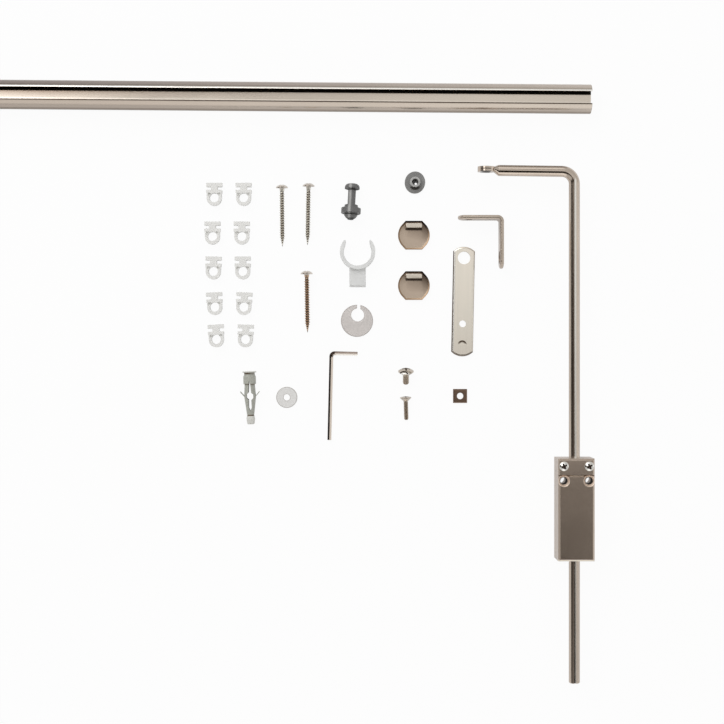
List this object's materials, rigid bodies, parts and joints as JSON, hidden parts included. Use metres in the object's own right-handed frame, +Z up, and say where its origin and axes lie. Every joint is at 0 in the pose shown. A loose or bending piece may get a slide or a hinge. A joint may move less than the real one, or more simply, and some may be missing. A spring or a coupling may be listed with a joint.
{
  "type": "door curtain rod kit",
  "caption": "Rising door-curtain rod kit: slotted rail, cranked lift rod in its bearing block, gliders, caps, brackets, clip, plug and screws laid out loose.",
  "frame": {"origin": "middle of the bearing block's back face, on the table", "axes": "+Z up from the table, +Y from the block along the lift rod towards the rail, +X to the right along the rail"},
  "size_m": [1.0707, 0.3914, 0.0236],
  "materials": {
    "satin_nickel": "satin nickel plate",
    "block_nickel": "satin nickel plate on a casting",
    "nickel_screw": "nickel plated",
    "steel": "bright plated",
    "dark_steel": "dark, oiled",
    "white_plastic": "moulded",
    "clear_plastic": "translucent",
    "translucent_plastic": "translucent",
    "grey_plastic": "moulded",
    "plug_plastic": "moulded",
    "inner_plastic": "moulded, hidden"
  },
  "bodies": {
    "kit": {"rail": "satin_nickel", "end_cap_1": "satin_nickel", "end_cap_2": "satin_nickel", "glider_01": "white_plastic", "glider_02": "white_plastic", "glider_03": "white_plastic", "glider_04": "white_plastic", "glider_05": "white_plastic", "glider_06": "white_plastic", "glider_07": "white_plastic", "glider_08": "white_plastic", "glider_09": "white_plastic", "glider_10": "white_plastic", "block_body": "block_nickel", "block_cover": "block_nickel", "cover_screws": "nickel_screw", "upper_bush": "inner_plastic", "lift_cam": "inner_plastic", "flat_bracket": "satin_nickel", "angle_bracket": "satin_nickel", "pin_grommet": "grey_plastic", "flanged_bush": "grey_plastic", "rail_clip": "clear_plastic", "slotted_disc": "translucent_plastic", "wood_screw_1": "nickel_screw", "wood_screw_2": "nickel_screw", "wood_screw_3": "nickel_screw", "hex_key": "steel", "wall_plug": "plug_plastic", "nylon_washer": "white_plastic", "machine_screw_oval": "nickel_screw", "machine_screw_countersunk": "nickel_screw", "square_nut": "dark_steel"},
    "turning_bush": {"lower_bush": "inner_plastic"},
    "rod": {"lift_rod": "satin_nickel", "lift_pin": "steel"},
    "guide": {"guide_pin": "grey_plastic"}
  },
  "joints": [
    {"name": "rod_turn", "type": "hinge", "parent": "kit", "child": "turning_bush", "pos_m": [0, -0.0275, 0.011], "axis": [0, 1, 0], "range_deg": [0, 100]},
    {"name": "rod_rise", "type": "slide", "parent": "turning_bush", "child": "rod", "axis": [0, 1, 0], "range_m": [0, 0.0134]},
    {"name": "guide_slide", "type": "slide", "parent": "kit", "child": "guide", "axis": [-0.0538, -0.9926, 0.109], "range_m": [0, 0.0095]}
  ],
  "couplings": [
    {"joint": "rod_rise", "follows": "rod_turn", "m_per_rad": 0.007639}
  ]
}
